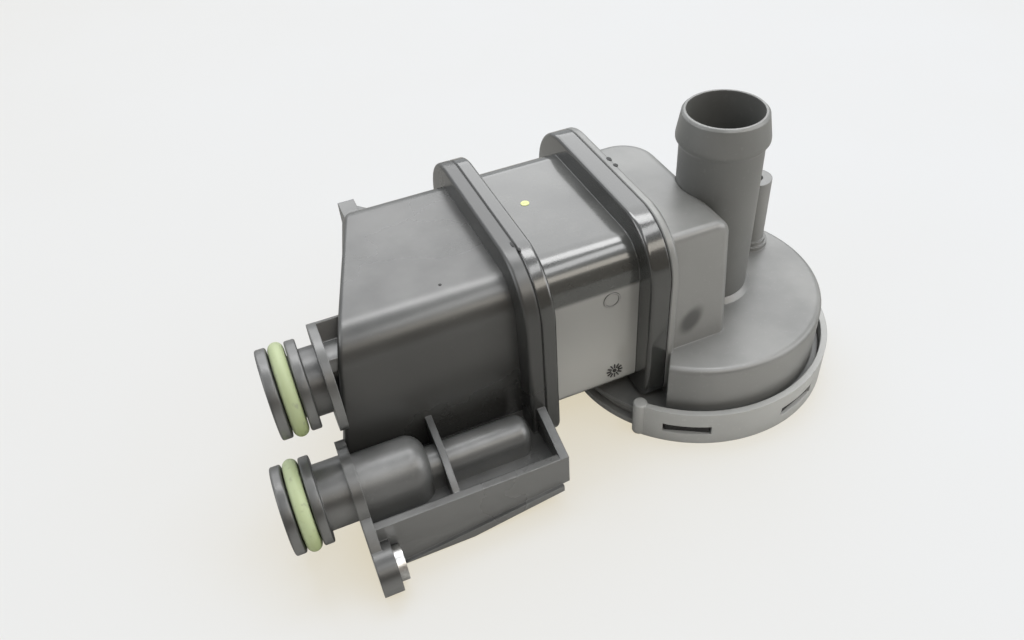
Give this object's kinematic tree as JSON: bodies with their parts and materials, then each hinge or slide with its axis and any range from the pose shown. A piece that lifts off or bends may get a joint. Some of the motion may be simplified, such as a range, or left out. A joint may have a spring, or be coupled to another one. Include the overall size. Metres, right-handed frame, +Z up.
{
  "type": "crankcase oil separator",
  "caption": "Welded plastic crankcase oil separator: ribbed box with flanged seams, round diaphragm valve housing with outlet tube, sealed hose spigots and a bracket with a bushed lug.",
  "frame": {"origin": "on the valve axis at the cap's flat underside, the plane the part stands on", "axes": "+X along the box from the hose spigots towards the valve, +Y to the back, +Z up along the outlet tube"},
  "size_m": [0.1893, 0.1064, 0.0897],
  "materials": {
    "housing_plastic": "moulded glass-filled plastic, semi-matt",
    "gloss_housing": "moulded plastic, glossier",
    "inner_plastic": "moulded plastic",
    "diaphragm_rubber": "thin moulded rubber",
    "seal_rubber": "pale green rubber ring",
    "spring_steel": "drawn spring wire",
    "bush_steel": "turned steel bush"
  },
  "bodies": {
    "housing": {"left_shell": "housing_plastic", "middle_shell": "gloss_housing", "right_shell": "housing_plastic", "outlet_pipe": "housing_plastic", "valve_cap": "housing_plastic", "nozzle_plate": "inner_plastic", "impact_plate": "inner_plastic", "diaphragm": "diaphragm_rubber", "valve_spring": "spring_steel", "upper_o_ring": "seal_rubber", "lower_o_ring": "seal_rubber", "lug_bush": "bush_steel"},
    "valve_plate": {"diaphragm_plate": "inner_plastic"}
  },
  "joints": [
    {"name": "plate_lift", "type": "slide", "parent": "housing", "child": "valve_plate", "axis": [0, 0, 1], "range_m": [0, 0.0025], "stiffness_N_per_m": 100, "springref_m": -0.004, "deforming": ["valve_spring", "diaphragm"]}
  ]
}
